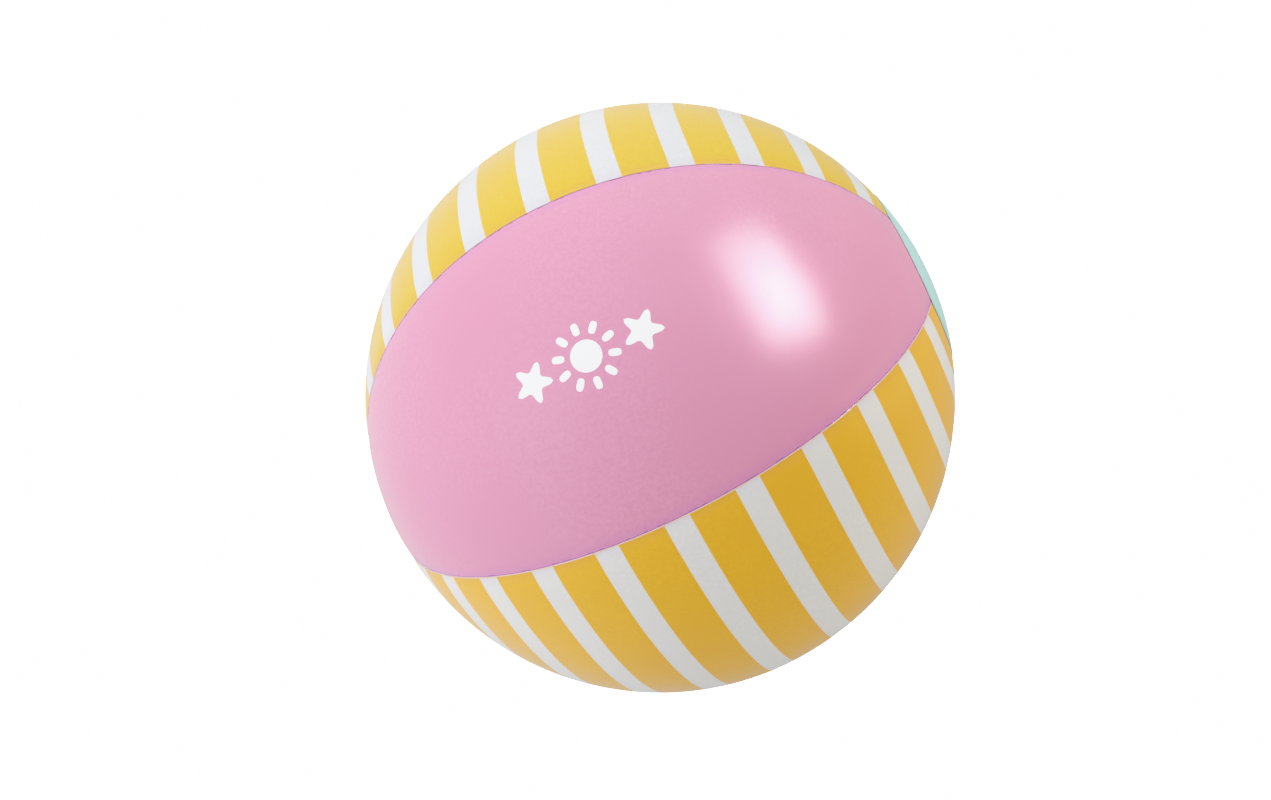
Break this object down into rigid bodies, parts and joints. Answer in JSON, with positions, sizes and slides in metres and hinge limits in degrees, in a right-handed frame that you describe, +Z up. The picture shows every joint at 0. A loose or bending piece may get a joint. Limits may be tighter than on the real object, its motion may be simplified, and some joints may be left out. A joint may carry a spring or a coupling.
{
  "type": "inflatable beach ball",
  "caption": "Inflatable ball of welded film gores in plain and cross-striped colours, with round polar caps and a push-in plugged air valve.",
  "frame": {"origin": "the ball's centre", "axes": "+Z up as the ball lies on a surface; the pole axis lies in the XZ plane, with the plain cap's pole 27 degrees above +X and the valve at the opposite pole; the first pink gore faces -Y, turned up by 26.4 degrees about the pole axis"},
  "size_m": [0.39, 0.39, 0.39],
  "materials": {
    "pink_film": "soft gloss, faint grain",
    "striped_film": "soft gloss, white cross bands printed",
    "mint_film": "soft gloss",
    "valve_vinyl": "satin",
    "skirt_vinyl": "satin, slightly clear",
    "flap_film": "glossy thin film"
  },
  "bodies": {
    "ball_skin": {"gore_pink_1": "pink_film", "gore_striped_1": "striped_film", "gore_pink_2": "pink_film", "gore_striped_2": "striped_film", "gore_pink_3": "pink_film", "gore_striped_3": "striped_film", "end_cap": "mint_film", "valve_cap": "mint_film", "valve_flange": "valve_vinyl", "valve_skirt": "skirt_vinyl"},
    "valve_tube": {"valve_stem": "valve_vinyl", "plug_strap": "skirt_vinyl"},
    "inner_flap": {"check_flap": "flap_film"},
    "stopper": {"valve_plug": "valve_vinyl"}
  },
  "joints": [
    {"name": "valve_pop", "type": "slide", "parent": "ball_skin", "child": "valve_tube", "axis": [-0.891, 0, -0.454], "range_m": [0, 0.017], "deforming": ["valve_skirt"]},
    {"name": "plug_swing", "type": "hinge", "parent": "valve_tube", "child": "stopper", "pos_m": [-0.17844, -0.01075, -0.08493], "axis": [-0.4066, 0.4446, 0.7981], "range_deg": [0, 150], "deforming": ["plug_strap"]},
    {"name": "flap_lift", "type": "hinge", "parent": "valve_tube", "child": "inner_flap", "pos_m": [-0.15934, -0.00448, -0.07869], "axis": [0.4066, -0.4446, -0.7981], "range_deg": [0, 60], "stiffness_Nm_per_rad": 0.0005, "springref_deg": -17.19}
  ]
}
